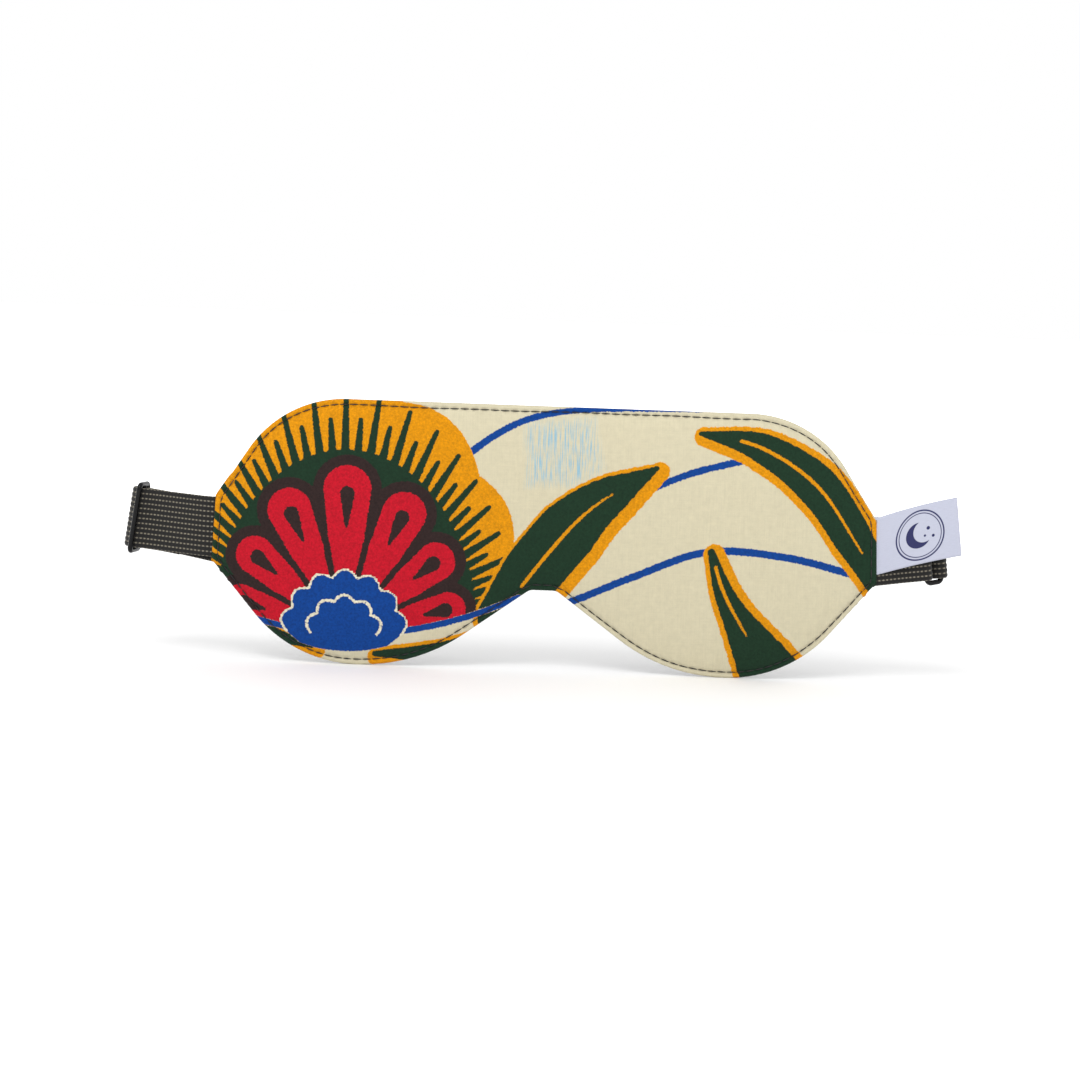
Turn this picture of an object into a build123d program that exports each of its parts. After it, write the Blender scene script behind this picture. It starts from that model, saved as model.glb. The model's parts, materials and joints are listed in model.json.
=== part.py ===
from build123d import *

import os
from math import asin, cos, degrees, radians, sin, sqrt, tan

# Padded sleep mask with a doubled, adjustable elastic strap. Millimetres. +X is the
# viewer's right, +Z is up and the printed front faces -Y. The origin lies midway between
# the two lobes that the mask stands on, in the plane of the seam.

# ---- mask outline: one half, mirrored about X = 0 ----
mask_width = 220.0
mask_height = 88.0
mask_thickness = 5.0
ear_top_margin = 0.2
ear_bottom_margin = 0.8
ear_taper = 1.0
shoulder_inset = 22.8
jaw_inset = 28.0
nose_foot_x = 41.5
notch_half_width = 4.4
notch_z = 27.0
shoulder_radius = 38.0
ear_top_radius = 6.0
ear_bottom_radius = 3.0
jaw_radius = 44.5
nose_radius = 59.5
notch_radius = 3.5

# ---- mask layers ----
cloth = 0.4
rim_width = 3.2
edge_round = 1.5
wadding_clearance = 0.1
stitch_inset = 1.7
stitch_width = 0.5
stitch_height = 0.2

# ---- elastic band and wire hardware ----
band_width = 20.0
band_thickness = 1.2
layer_gap = 0.15
tail_length = 8.0
wire_radius = 0.85
wire_end_play = 0.3
wire_corner_radius = 1.6
slider_play = 0.4
slider_lean = 8.4
ring_pitch = 5.8
ring_lean = 27.0

# ---- where the strap runs ----
slider_reach = 25.8
ring_reach = 15.7
strap_end_z = 45.5
strap_sag = 9.0
strap_set_back = 9.6
tab_set_back = 1.3
band_seam_z = 44.2
run_stop_from_ear = 6.0
sewn_end_length = 15.0
sewn_overlap = 6.0
sewn_end_clearance = 8.0
tab_open_length = 7.8
bartack_width = 1.5
bartack_margin = 1.0
bartack_height = 0.2
leg_bend_radius = 20.0
front_run_bend_radius = 10.0

# ---- label ----
label_height = 19.2
label_seam_z = 36.4
label_reach = 27.5
label_rise = 7.5
label_cloth = 0.2
label_opening = 1.0
label_fold_length = 6.9
label_twist = 1.5

# ---- worked out from the above ----
half_width = mask_width / 2
half_thickness = mask_thickness / 2
ear_top_z = band_seam_z + band_width / 2 + ear_top_margin
ear_bottom_z = band_seam_z - band_width / 2 - ear_bottom_margin
loop_inner = wire_radius + layer_gap
loop_outer = loop_inner + band_thickness
fold_inner = loop_outer + layer_gap
fold_outer = fold_inner + band_thickness
slider_pitch = fold_outer + slider_play + wire_radius
half_rail = band_width / 2 + wire_end_play + wire_radius

ring_spread = ring_pitch * cos(radians(ring_lean))
slider_x = -half_width - slider_reach
hinge_bar_x = half_width + ring_reach
half_chord = (hinge_bar_x + ring_spread - slider_x) / 2
strap_mid_x = slider_x + half_chord
strap_radius = (half_chord**2 + strap_sag**2) / (2 * strap_sag)
strap_swing = degrees(asin(half_chord / strap_radius))
strap_centre = (strap_mid_x, strap_end_z + strap_radius - strap_sag)
leg_slope = degrees(asin((2 * loop_outer + 2 * layer_gap) / ring_pitch)) - ring_lean

lean = radians(strap_swing)
back = Vector(0, 1, 0)
left_run = Vector(cos(lean), 0, -sin(lean))
left_bar = Vector(sin(lean), 0, cos(lean))
right_run = Vector(cos(lean), 0, sin(lean))
right_bar = Vector(-sin(lean), 0, cos(lean))

middle_bar = Vector(slider_x, strap_set_back, strap_end_z)
hinge_bar = Vector(hinge_bar_x, tab_set_back, strap_end_z - ring_spread * sin(lean))
ring_dir = right_run * cos(radians(ring_lean)) + back * sin(radians(ring_lean))
fold_bar = hinge_bar + ring_dir * ring_pitch
slider_dir = back * cos(radians(slider_lean)) + left_run * sin(radians(slider_lean))
leg_dir = right_run * -cos(radians(leg_slope)) + back * sin(radians(leg_slope))

slider_end = Plane(origin=middle_bar, x_dir=left_run, z_dir=left_bar)
tab_plane = Plane(origin=hinge_bar, x_dir=right_run, z_dir=right_bar)
fold_plane = Plane(origin=fold_bar, x_dir=right_run, z_dir=right_bar)

os.makedirs("parts", exist_ok=True)


def save(piece, name):
    """Name a finished piece and write it to its own file."""
    piece.part.label = name
    export_step(piece.part, f"parts/{name}.step")


def mask_face(inset=0.0):
    """The mask's outline as a sketch, drawn in from its edge by inset."""
    half = [
        (half_width - shoulder_inset, mask_height, shoulder_radius),
        (half_width - ear_taper, ear_top_z, ear_top_radius),
        (half_width, ear_bottom_z, ear_bottom_radius),
        (half_width - jaw_inset, 0, jaw_radius),
        (nose_foot_x, 0, nose_radius),
        (notch_half_width, notch_z, notch_radius),
    ]
    mirrored = [(-x, z, r) for x, z, r in reversed(half)]
    corners = half + mirrored
    with BuildSketch() as outline:
        with BuildLine():
            FilletPolyline(
                *[(x, z) for x, z, r in corners], radius=[r for x, z, r in corners], close=True
            )
        make_face()
        if inset:
            offset(amount=-inset, mode=Mode.REPLACE)
    return outline.sketch


def strap_sector(end_angle):
    """A stretch of band bent edgewise along the strap's sag, from the slider's middle bar."""
    start = -90 - strap_swing
    with BuildSketch() as sector:
        with BuildLine():
            upper = CenterArc(strap_centre, strap_radius - band_width / 2, start, end_angle - start)
            lower = CenterArc(strap_centre, strap_radius + band_width / 2, start, end_angle - start)
            Line(upper @ 0, lower @ 0)
            Line(upper @ 1, lower @ 1)
        make_face()
    return sector.sketch


# ---- elastic band: one length, in stretches that follow different pieces ----
run_stop = half_width - run_stop_from_ear
run_stop_angle = -90 + degrees(asin((run_stop - strap_mid_x) / strap_radius))
outer_run_y = strap_set_back + (fold_inner + fold_outer) / 2
inner_run_y = strap_set_back + (loop_inner + loop_outer) / 2

# folded round the slider's middle bar, over the sewn end
with BuildPart() as band_slider_fold:
    with BuildSketch(slider_end):
        Circle(fold_outer)
        Circle(fold_inner, mode=Mode.SUBTRACT)
        with Locations((-fold_outer / 2, 0)):
            Rectangle(fold_outer, 2 * fold_outer, mode=Mode.INTERSECT)
    extrude(amount=band_width / 2, both=True)
save(band_slider_fold, "band_slider_fold")

# the long run behind the mask, from the slider towards the ring
with BuildPart() as band_outer_run:
    with BuildSketch(Plane.XZ.offset(-outer_run_y)):
        add(strap_sector(run_stop_angle))
    extrude(amount=band_thickness / 2, both=True)
save(band_outer_run, "band_outer_run")

# the end of the band, taken round the middle bar and sewn back on itself
with BuildPart() as band_end_loop:
    with BuildSketch(slider_end):
        Circle(loop_outer)
        with Locations((sewn_end_length - sewn_overlap, loop_outer - band_thickness)):
            Rectangle(cloth, 2 * band_thickness)
        make_hull()
        with BuildSketch(slider_end, mode=Mode.SUBTRACT):
            Circle(loop_inner)
            with Locations((sewn_end_length - sewn_overlap - bartack_width, loop_inner - cloth / 2)):
                Circle(cloth / 2)
            make_hull()
        with Locations((sewn_end_length - sewn_overlap / 2, loop_outer - band_thickness)):
            Rectangle(sewn_overlap, 2 * band_thickness)
    extrude(amount=band_width / 2, both=True)
save(band_end_loop, "band_end_loop")

# rows of thread that close the sewn end, standing proud of its front face
with BuildPart() as end_bartack:
    with BuildSketch(slider_end):
        with Locations((sewn_end_length - sewn_overlap / 2, loop_outer - band_thickness)):
            Rectangle(
                bartack_width,
                band_thickness + bartack_height,
                align=(Align.CENTER, Align.MAX),
            )
    extrude(amount=band_width / 2 - bartack_margin, both=True)
    add(band_end_loop.part, mode=Mode.SUBTRACT)
save(end_bartack, "end_bartack")

# the return run, in front of the outer run, from the ring to the sewn end
with BuildPart() as band_inner_run:
    with BuildSketch(Plane.XZ.offset(-inner_run_y)):
        add(strap_sector(run_stop_angle))
    extrude(amount=band_thickness / 2, both=True)
    split(
        bisect_by=Plane(
            origin=middle_bar + left_run * sewn_end_length, x_dir=back, z_dir=left_run
        ),
        keep=Keep.TOP,
    )
save(band_inner_run, "band_inner_run")

# both runs slope forward from behind the mask to the ring's far bar
stop_dir = Vector(cos(radians(run_stop_angle + 90)), 0, sin(radians(run_stop_angle + 90)))
stop_z = strap_centre[1] - sqrt(strap_radius**2 - (run_stop - strap_mid_x) ** 2)
stop_plane = Plane(origin=(run_stop, 0, stop_z), x_dir=back, z_dir=stop_dir)
slope = radians(leg_slope)
run_overlap = 3.0
legs = {}
for name, side, run_y in (
    ("band_outer_leg", 1, outer_run_y),
    ("band_inner_leg", -1, inner_run_y),
):
    reach = side * (loop_inner + loop_outer) / 2
    start = (reach * sin(slope), reach * cos(slope))
    height = run_y - fold_bar.Y
    bend = (start[0] - (height - start[1]) / tan(slope), height)
    stop = (run_stop - fold_bar.X - run_overlap, height)
    with BuildPart() as leg:
        with BuildSketch(fold_plane):
            with BuildLine():
                FilletPolyline(start, bend, stop, radius=leg_bend_radius)
            trace(line_width=band_thickness)
        extrude(amount=band_width / 2, both=True)
        split(bisect_by=stop_plane, keep=Keep.TOP)
    save(leg, name)
    legs[name] = leg

# folded round the ring's far bar
with BuildPart() as band_ring_fold:
    with BuildSketch(Plane(origin=fold_bar, x_dir=leg_dir, z_dir=right_bar)):
        Circle(loop_outer)
        Circle(loop_inner, mode=Mode.SUBTRACT)
        with Locations((-loop_outer / 2, 0)):
            Rectangle(loop_outer, 2 * loop_outer, mode=Mode.INTERSECT)
    extrude(amount=band_width / 2, both=True)
save(band_ring_fold, "band_ring_fold")

# from the slider forward to the left ear, with its tail in the seam
front_run_y = strap_set_back - (fold_inner + fold_outer) / 2
flat_from_bar = 3.3
seam_flat = 3.0
half_band = band_width / 2
bar_shift = left_bar * half_band
with BuildPart() as band_front_run:
    with BuildSketch(Plane.XZ):
        with BuildLine():
            Polyline(
                (middle_bar.X + bar_shift.X, middle_bar.Z + bar_shift.Z),
                (-half_width, band_seam_z + half_band),
                (-half_width + tail_length, band_seam_z + half_band),
                (-half_width + tail_length, band_seam_z - half_band),
                (-half_width, band_seam_z - half_band),
                (middle_bar.X - bar_shift.X, middle_bar.Z - bar_shift.Z),
                close=True,
            )
        make_face()
    extrude(amount=2 * strap_set_back, both=True)
    with BuildSketch(Plane.XY):
        with BuildLine():
            FilletPolyline(
                (slider_x - half_band, front_run_y),
                (slider_x + flat_from_bar, front_run_y),
                (-half_width - seam_flat, 0),
                (0, 0),
                radius=front_run_bend_radius,
            )
        trace(line_width=band_thickness)
    extrude(amount=mask_height, both=True, mode=Mode.INTERSECT)
save(band_front_run, "band_front_run")

# ---- slider: a wire frame with a middle bar, seen edge-on at the strap's end ----
slider_plane = Plane(origin=middle_bar, x_dir=slider_dir, z_dir=slider_dir.cross(left_bar))
with BuildPart() as slider:
    with BuildLine(slider_plane) as slider_path:
        FilletPolyline(
            (-slider_pitch, -half_rail),
            (slider_pitch, -half_rail),
            (slider_pitch, half_rail),
            (-slider_pitch, half_rail),
            radius=wire_corner_radius,
            close=True,
        )
    with BuildSketch(Plane(origin=slider_path.line @ 0, z_dir=slider_path.line % 0)):
        Circle(wire_radius)
    sweep(path=slider_path.line)
    with BuildSketch(slider_end):
        Circle(wire_radius)
    extrude(amount=half_rail, both=True)
save(slider, "slider")

# ---- ring: a plain wire rectangle between the tab and the band's fold ----
ring_plane = Plane(origin=hinge_bar, x_dir=ring_dir, z_dir=ring_dir.cross(right_bar))
with BuildPart() as ring:
    with BuildLine(ring_plane) as ring_path:
        FilletPolyline(
            (0, -half_rail),
            (ring_pitch, -half_rail),
            (ring_pitch, half_rail),
            (0, half_rail),
            radius=wire_corner_radius,
            close=True,
        )
    with BuildSketch(Plane(origin=ring_path.line @ 0, z_dir=ring_path.line % 0)):
        Circle(wire_radius)
    sweep(path=ring_path.line)
save(ring, "ring")

# ---- ring tab: a short length of the same band, looped through the ring, tails in the seam ----
tab_length = ring_reach / cos(lean)
seam_y = -tab_set_back
with BuildPart() as ring_tab:
    with BuildSketch(tab_plane):
        Circle(loop_outer)
        with Locations((-tab_length, seam_y)):
            Rectangle(cloth, 2 * band_thickness)
        make_hull()
        with BuildSketch(tab_plane, mode=Mode.SUBTRACT):
            Circle(loop_inner)
            with Locations((-tab_open_length, seam_y / 2)):
                Circle(cloth / 4)
            make_hull()
        with Locations((-tab_length - tail_length / 2, seam_y)):
            Rectangle(tail_length, 2 * band_thickness)
    extrude(amount=band_width / 2, both=True)
save(ring_tab, "ring_tab")

# rows of thread that close the loop near the ear, standing proud of its back face
tack_station = 0.25
tab_back_y = seam_y + band_thickness
tack_y = tab_back_y + tack_station * (loop_outer - tab_back_y)
with BuildPart() as tab_bartack:
    with BuildSketch(tab_plane):
        with Locations((-tab_length * (1 - tack_station), tack_y + bartack_height)):
            Rectangle(bartack_width, band_thickness, align=(Align.CENTER, Align.MAX))
    extrude(amount=band_width / 2 - bartack_margin, both=True)
    add(ring_tab.part, mode=Mode.SUBTRACT)
save(tab_bartack, "tab_bartack")

# ---- label: a folded satin loop; its hem is caught in the ear seam in front of the tab ----
label_hinge_x = half_width + layer_gap
hem_y = -band_thickness - label_cloth
label_y = hem_y - layer_gap
with BuildPart() as label_hem:
    with BuildSketch(Plane.XZ.offset(-hem_y)):
        with Locations((label_hinge_x - tail_length / 2, label_seam_z + label_height / 2)):
            Rectangle(tail_length, label_height)
    extrude(amount=label_cloth, both=True)
save(label_hem, "label_hem")

label_free_x = label_hinge_x + label_reach
front_y = label_y - label_cloth - label_opening
with BuildPart() as label:
    with BuildSketch(Plane.XZ):
        with BuildLine():
            Polyline(
                (label_hinge_x, label_seam_z),
                (label_free_x, label_seam_z + label_rise),
                (label_free_x - label_twist, label_seam_z + label_rise + label_height),
                (label_hinge_x, label_seam_z + label_height),
                close=True,
            )
        make_face()
    extrude(amount=mask_thickness, both=True)
    with BuildSketch(Plane.XY):
        with BuildLine():
            Polyline(
                (label_hinge_x, label_y + label_cloth),
                (label_free_x, label_y + label_cloth),
                (label_free_x, front_y - label_cloth),
                (label_free_x - label_fold_length, front_y - label_cloth),
                (label_hinge_x, label_y - label_cloth),
                close=True,
            )
        make_face()
        with BuildLine():
            Polyline(
                (label_hinge_x + label_fold_length, label_y),
                (label_free_x - label_cloth, label_y),
                (label_free_x - label_cloth, front_y),
                (label_free_x - label_fold_length, front_y),
                close=True,
            )
        make_face(mode=Mode.SUBTRACT)
    extrude(amount=mask_height, both=True, mode=Mode.INTERSECT)
save(label, "label")

# ---- mask: two cloth panels sewn round the rim, with wadding between them ----
sewn_in = [band_front_run, ring_tab, label_hem]


def panel(side):
    """One cloth panel: side is 1 for the printed front and -1 for the lining."""
    with BuildPart() as piece:
        with BuildSketch(Plane.XZ):
            add(mask_face())
        extrude(amount=side * half_thickness)
        outer_face = piece.faces().sort_by(Axis.Y)[0 if side > 0 else -1]
        fillet(outer_face.edges(), radius=edge_round)
        with BuildSketch(Plane.XZ):
            add(mask_face(rim_width))
        extrude(amount=side * (half_thickness - cloth), mode=Mode.SUBTRACT)
        for tail in sewn_in:
            add(tail.part, mode=Mode.SUBTRACT)
    return piece


front_panel = panel(1)
save(front_panel, "front_panel")
back_panel = panel(-1)
save(back_panel, "back_panel")

with BuildPart() as wadding:
    with BuildSketch(Plane.XZ):
        add(mask_face(rim_width + wadding_clearance))
    extrude(amount=half_thickness - cloth - wadding_clearance, both=True)
    for tail in sewn_in:
        add(tail.part, mode=Mode.SUBTRACT)
save(wadding, "wadding")

# one row of lockstitch round the edge: the top thread in front, the bobbin thread behind
for name, side in (("topstitch_front", 1), ("topstitch_back", -1)):
    with BuildPart() as topstitch:
        with BuildSketch(Plane.XZ.offset(side * half_thickness)):
            add(mask_face(stitch_inset))
            add(mask_face(stitch_inset + stitch_width), mode=Mode.SUBTRACT)
        extrude(amount=side * stitch_height)
    save(topstitch, name)

# ---- joint places and ranges, for the record ----
travel_stop_x = run_stop - sewn_end_length - sewn_end_clearance
travel = strap_swing + degrees(asin((travel_stop_x - strap_mid_x) / strap_radius))
print("strap centre x, z:", [round(v, 3) for v in strap_centre], "travel:", round(travel, 3))
print("middle bar:", middle_bar, "along", left_bar)
print("hinge bar:", hinge_bar, "along", right_bar)
print("fold bar:", fold_bar, "leg slope:", round(leg_slope, 2))
print("label hinge x, y:", round(label_hinge_x, 3), round(label_y - label_cloth, 3))
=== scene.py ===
import json
import math

import bmesh
import bpy
import numpy as np
from mathutils import Matrix, Vector, kdtree


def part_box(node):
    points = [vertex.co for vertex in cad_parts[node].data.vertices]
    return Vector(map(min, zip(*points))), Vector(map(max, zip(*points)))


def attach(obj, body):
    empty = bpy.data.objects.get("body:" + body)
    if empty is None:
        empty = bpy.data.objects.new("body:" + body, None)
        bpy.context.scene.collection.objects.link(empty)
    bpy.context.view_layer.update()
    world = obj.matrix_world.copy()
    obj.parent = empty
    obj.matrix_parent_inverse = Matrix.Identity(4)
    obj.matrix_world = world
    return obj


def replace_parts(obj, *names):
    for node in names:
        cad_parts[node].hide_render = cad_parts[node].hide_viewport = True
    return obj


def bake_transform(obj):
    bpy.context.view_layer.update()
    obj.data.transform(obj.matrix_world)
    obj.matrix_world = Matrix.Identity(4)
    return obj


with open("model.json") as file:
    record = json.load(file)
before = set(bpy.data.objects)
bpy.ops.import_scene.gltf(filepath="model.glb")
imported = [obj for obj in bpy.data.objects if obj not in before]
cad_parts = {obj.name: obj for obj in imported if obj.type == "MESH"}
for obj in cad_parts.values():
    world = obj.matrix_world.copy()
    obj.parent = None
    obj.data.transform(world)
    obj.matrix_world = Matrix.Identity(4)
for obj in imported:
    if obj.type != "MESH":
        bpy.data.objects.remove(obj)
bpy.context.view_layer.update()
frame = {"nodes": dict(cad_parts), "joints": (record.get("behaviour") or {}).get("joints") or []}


# ---- Table and light ----
# The mask stands on a white table, against the daylight of a bright room, with one wide
# soft lamp above the front of it, so the shade under the lobes falls softly backwards.
def make_object(name, mesh_maker):
    """A mesh object at the origin, from a bmesh that mesh_maker fills."""
    mesh = bpy.data.meshes.new(name)
    bm = bmesh.new()
    mesh_maker(bm)
    bm.to_mesh(mesh)
    bm.free()
    piece = bpy.data.objects.new(name, mesh)
    bpy.context.scene.collection.objects.link(piece)
    return piece


def add_node(tree, kind, inputs=None, **settings):
    """A shader node with its settings, and its inputs set to values or linked to sockets."""
    node = tree.nodes.new("ShaderNode" + kind)
    for key, value in settings.items():
        setattr(node, key, value)
    for key, value in (inputs or {}).items():
        if isinstance(value, bpy.types.NodeSocket):
            tree.links.new(value, node.inputs[key])
        elif isinstance(value, tuple):
            node.inputs[key].default_value = value[: len(node.inputs[key].default_value)]
        else:
            node.inputs[key].default_value = value
    return node


def srgb(red, green, blue):
    """A colour as a shader takes it, from its 0 to 255 screen values."""
    linear = [
        c / 12.92 if c <= 0.04045 else ((c + 0.055) / 1.055) ** 2.4
        for c in (red / 255, green / 255, blue / 255)
    ]
    return (*linear, 1.0)


def remap(tree, value, low, high, to_low=0.0, to_high=1.0, **settings):
    """A value between low and high, brought to the range between to_low and to_high."""
    ends = {"From Min": low, "From Max": high, "To Min": to_low, "To Max": to_high}
    return add_node(tree, "MapRange", {"Value": value, **ends}, **settings).outputs[0]


def start_finish(name, **shader_values):
    """A new material, its tree and its main shader, with plain values set on the shader."""
    finish = bpy.data.materials.new(name)
    finish.use_nodes = True
    tree = finish.node_tree
    shader = tree.nodes["Principled BSDF"]
    for key, value in shader_values.items():
        shader.inputs[key.replace("_", " ")].default_value = value
    return finish, tree, shader


table_finish, tree, shader = start_finish("table_paint", Roughness=0.7)
shader.inputs["Base Color"].default_value = srgb(240, 240, 240)
shader.inputs["Emission Color"].default_value = (1, 1, 1, 1)
# the table glows as painted light: faintly near the mask, which lightens the shade under it, and
# as bright as the room further away, so that no horizon line shows
table_place = add_node(tree, "TexCoord").outputs["Object"]
table_reach = add_node(tree, "VectorMath", {0: table_place}, operation="LENGTH").outputs["Value"]
far_light = remap(tree, table_reach, 0.15, 0.8, to_low=0.1, interpolation_type="SMOOTHSTEP")
tree.links.new(far_light, shader.inputs["Emission Strength"])
table_top = make_object(
    "table_top",
    lambda bm: bmesh.ops.create_circle(bm, cap_ends=True, segments=96, radius=6.0),
)
table_top.data.materials.append(table_finish)

room = bpy.data.worlds.new("room")
room.use_nodes = True
room.node_tree.nodes["Background"].inputs["Color"].default_value = (1, 1, 1, 1)
room.node_tree.nodes["Background"].inputs["Strength"].default_value = 1.0
bpy.context.scene.world = room
bpy.context.scene.view_settings.view_transform = "Standard"


def soft_lamp(name, place, aim, width, power):
    """A wide square lamp at a place, turned to its aim."""
    light = bpy.data.lights.new(name, "AREA")
    light.shape = "SQUARE"
    light.size = width
    light.energy = power
    lamp = bpy.data.objects.new(name, light)
    lamp.location = place
    lamp.rotation_euler = (Vector(aim) - Vector(place)).to_track_quat("-Z", "Y").to_euler()
    bpy.context.scene.collection.objects.link(lamp)


soft_lamp("lamp_front", (-0.35, -1.1, 1.5), aim=(0, 0, 0.03), width=0.7, power=9.0)

camera_distance = 0.843
camera_height_angle = math.radians(6.0)
camera_roll = math.radians(2.1)
aim = Vector((-0.0016, 0, 0.0437))
to_camera = Vector((0, -math.cos(camera_height_angle), math.sin(camera_height_angle)))
level_right = Vector((1, 0, 0))
level_up = to_camera.cross(level_right)
camera_right = math.cos(camera_roll) * level_right + math.sin(camera_roll) * level_up
camera_up = to_camera.cross(camera_right)
lens = bpy.data.cameras.new("camera")
lens.lens = 85
lens.sensor_width = 36
lens.clip_start = 0.01
camera = bpy.data.objects.new("camera", lens)
place = Matrix((camera_right, camera_up, to_camera)).transposed().to_4x4()
place.translation = aim + to_camera * camera_distance
camera.matrix_world = place
bpy.context.scene.collection.objects.link(camera)
bpy.context.scene.camera = camera


# ---- Front panel ----
# A piece of wax-print cotton, cut to the mask's outline, sewn to the lining round its edge
# face to face, turned, and stitched round again. The wadding behind it makes it swell.
MM = 0.001
half_cut = [
    (87.2, 88, 38),
    (109, 54.4, 6),
    (110, 33.4, 3),
    (82, 0, 44.5),
    (41.5, 0, 59.5),
    (4.4, 27, 3.5),
]
whole_cut = half_cut + [(-x, z, r) for x, z, r in reversed(half_cut)]
stitch_inset = 1.8
stitch_pitch = 3.3
cloth = 0.35
# how far each panel swells from the seam's plane, and the roll at its edge
front_crown, lining_crown = 2.55, 2.5
rim_width, rim_height = 1.2, 1.05
swell_reach = 4.2
# the dimple along the stitches, deepest where each stitch pulls, and the gathers inside it
dimple_reach, dimple_depth, dimple_pull = 0.75, 0.34, 0.15
gather_at, gather_reach, gather_rise = 4.0, 2.6, 0.19
# how far the ears open for the band, and for the tab and label, which lie partly in front
ear_height = 44
left_gap, right_gap_front, right_gap_back = 0.7, 1.7, 1.3
widest_gap = 2.75
# soft creases, each (x, z, depth, lean, half width, half height)
creases = [
    (62, 38, 0.46, 0.05, 2.4, 20),
    (72, 30, 0.44, -0.08, 2.0, 17),
    (80, 44, 0.34, -0.12, 2.6, 18),
    (48, 30, 0.24, 0.10, 3.0, 16),
    (-88, 52, 0.18, 0.25, 2.6, 15),
    (-40, 40, 0.15, -0.15, 3.2, 18),
    (3, 50, 0.32, 0.02, 3.6, 17),
]


def rounded(corners, closed, step=0.4):
    """One list of points per corner: a corner (x, z, radius) becomes a run along its arc."""
    runs = []
    count = len(corners)
    for i, (x, z, radius) in enumerate(corners):
        here = np.array((x, z), float)
        if not closed and i in (0, count - 1) or radius == 0:
            runs.append(here[None])
            continue
        before = np.array(corners[i - 1][:2], float) - here
        after = np.array(corners[(i + 1) % count][:2], float) - here
        before /= np.linalg.norm(before)
        after /= np.linalg.norm(after)
        half = math.acos(np.clip(before @ after, -1, 1)) / 2
        inwards = (before + after) / np.linalg.norm(before + after)
        middle = here + inwards * (radius / math.sin(half))
        first_x, first_z = here + before * radius / math.tan(half) - middle
        turn = (math.pi - 2 * half) * np.sign(first_x * after[1] - first_z * after[0])
        angles = turn * np.linspace(0, 1, max(3, int(abs(turn) * radius / step) | 1))
        arc_x = first_x * np.cos(angles) - first_z * np.sin(angles)
        arc_z = first_x * np.sin(angles) + first_z * np.cos(angles)
        runs.append(middle + np.stack([arc_x, arc_z], 1))
    return runs


def lengths(path):
    """The distance along a path of each of its points."""
    return np.append(0, np.cumsum(np.linalg.norm(np.diff(path, axis=0), axis=1)))


def spaced(path, shares):
    """Points on a path, at shares of its length."""
    along = lengths(path)
    at = np.asarray(shares) * along[-1]
    return np.stack([np.interp(at, along, column) for column in path.T], -1)


def sides_of_cut(corners):
    """The outline's bottom, top, left and right, which meet half-way round the ears' corners."""
    runs = rounded(corners, True)
    half = [len(r) // 2 for r in runs]
    right = np.concatenate([runs[1][half[1]:], runs[2][: half[2] + 1]])[::-1]
    bottom = np.concatenate([runs[2][half[2]:], *runs[3:9], runs[9][: half[9] + 1]])[::-1]
    left = np.concatenate([runs[9][half[9]:], runs[10][: half[10] + 1]])
    top = np.concatenate([runs[10][half[10]:], runs[11], runs[0], runs[1][: half[1] + 1]])
    return bottom, top, left, right


def closer_at_ends(shares, pull):
    """Even shares from 0 to 1, drawn towards both ends."""
    return shares - pull * np.sin(2 * math.pi * shares) / (2 * math.pi)


def panel_plan(bm, corners, columns, rows):
    """A grid of cloth stretched over the outline, closer at its edges; x and z in mm."""
    bottom, top, left, right = sides_of_cut(corners)
    bmesh.ops.create_grid(bm, x_segments=columns, y_segments=rows, size=1)
    flat = np.array([v.co for v in bm.verts])[:, :2] / 2 + 0.5
    u, v = closer_at_ends(flat[:, :1], 0.25), closer_at_ends(flat[:, 1:], 0.35)
    corners_mixed = (
        (1 - u) * (1 - v) * bottom[0]
        + u * (1 - v) * bottom[-1]
        + (1 - u) * v * top[0]
        + u * v * top[-1]
    )
    return (
        (1 - v) * spaced(bottom, u[:, 0])
        + v * spaced(top, u[:, 0])
        + (1 - u) * spaced(left, v[:, 0])
        + u * spaced(right, v[:, 0])
        - corners_mixed
    )


edge_line = np.concatenate(rounded(whole_cut, True))
edge_line = spaced(np.concatenate([edge_line, edge_line[:1]]), np.linspace(0, 1, 2600))
edge_along = lengths(edge_line)
edge_tree = kdtree.KDTree(len(edge_line))
for i, (x, z) in enumerate(edge_line):
    edge_tree.insert((x, z, 0), i)
edge_tree.balance()


def from_edge(plan):
    """Each point's distance from the cut edge, and the place along the edge next to it."""
    found = [edge_tree.find((x, z, 0)) for x, z in plan]
    return np.array([f[2] for f in found]), edge_along[[f[1] for f in found]]


def ramp(value, start, end):
    """A smooth rise from 0 at start to 1 at end."""
    t = np.clip((value - start) / (end - start), 0, 1)
    return t * t * (3 - 2 * t)


def dent(x, z, place_x, place_z, depth, lean, half_width, half_height):
    """How deep one crease is at each point."""
    away = x - place_x - lean * (z - place_z)
    return depth * np.exp(-((away / half_width) ** 2) - ((z - place_z) / half_height) ** 2)


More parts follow.
